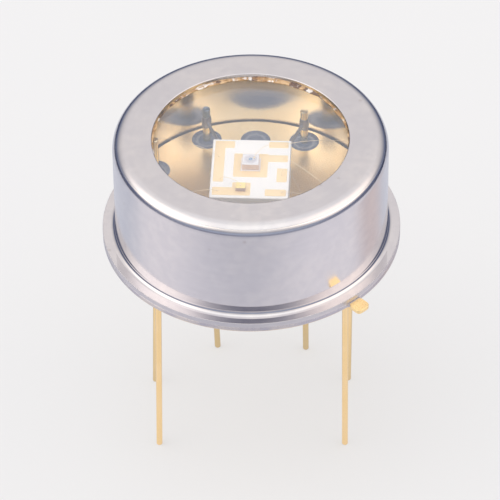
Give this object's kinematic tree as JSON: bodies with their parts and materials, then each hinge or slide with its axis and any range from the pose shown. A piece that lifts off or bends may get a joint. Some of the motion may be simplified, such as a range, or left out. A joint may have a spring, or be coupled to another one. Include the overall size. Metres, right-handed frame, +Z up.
{
  "type": "avalanche photodiode",
  "caption": "Thermoelectrically cooled avalanche photodiode in a round metal can with a glass window, gold-plated header and leads, ceramic carrier, chip and bond wires.",
  "frame": {"origin": "Centre of the seating plane, on the underside of the header", "axes": "+Z up the optical axis through the window, +X to the right and +Y to the back of the lead grid, whose front is open; the index tab points between +X and -Y"},
  "size_m": [0.0153, 0.0152, 0.0194],
  "materials": {
    "gold_plate": "bright gold plating on a nickel-iron alloy",
    "nickel_plate": "satin nickel plating on drawn sheet",
    "sealing_glass": "fused blue-grey sealing glass",
    "window_glass": "clear polished glass",
    "window_frit": "fused solder glass",
    "alumina": "white fired alumina",
    "copper": "plain copper",
    "n_pellet": "sawn semiconductor",
    "p_pellet": "sawn semiconductor",
    "solder": "tinned wire and solder",
    "gold_film": "soft gold film and gold wire",
    "bonding_metal": "soft bonding alloy",
    "contact_metal": "thin aluminium film",
    "silicon": "polished and coated silicon",
    "sensor_oxide": "fired metal oxide"
  },
  "bodies": {
    "root": {"header": "gold_plate", "seal_front_left": "sealing_glass", "seal_front_right": "sealing_glass", "seal_mid_left": "sealing_glass", "seal_mid_right": "sealing_glass", "seal_back_left": "sealing_glass", "seal_back_right": "sealing_glass", "seal_blank": "sealing_glass", "lead_front_left": "gold_plate", "lead_front_right": "gold_plate", "lead_mid_left": "gold_plate", "lead_mid_right": "gold_plate", "lead_back_left": "gold_plate", "lead_back_right": "gold_plate", "cap": "nickel_plate", "window": "window_glass", "window_seal": "window_frit", "cooler_hot_plate": "alumina", "cooler_lower_straps": "copper", "cooler_n_pellets": "n_pellet", "cooler_p_pellets": "p_pellet", "cooler_upper_straps": "copper", "cooler_cold_plate": "alumina", "supply_wire_left": "solder", "supply_wire_right": "solder", "supply_solder_left": "solder", "supply_solder_right": "solder", "carrier": "alumina", "trace_anode": "gold_film", "trace_cathode": "gold_film", "trace_ground": "gold_film", "trace_spare": "gold_film", "trace_sensor_top": "gold_film", "trace_sensor_base": "gold_film", "chip_bond": "bonding_metal", "chip": "silicon", "chip_contact": "contact_metal", "temperature_sensor": "sensor_oxide", "temperature_sensor_top": "gold_film", "wire_anode": "gold_film", "wire_sensor": "gold_film", "wire_sensor_top": "gold_film", "wire_sensor_base": "gold_film", "wire_anode_lead": "gold_film", "wire_cathode_lead": "gold_film", "wire_spare_lead": "gold_film", "wire_ground": "gold_film"}
  },
  "joints": []
}
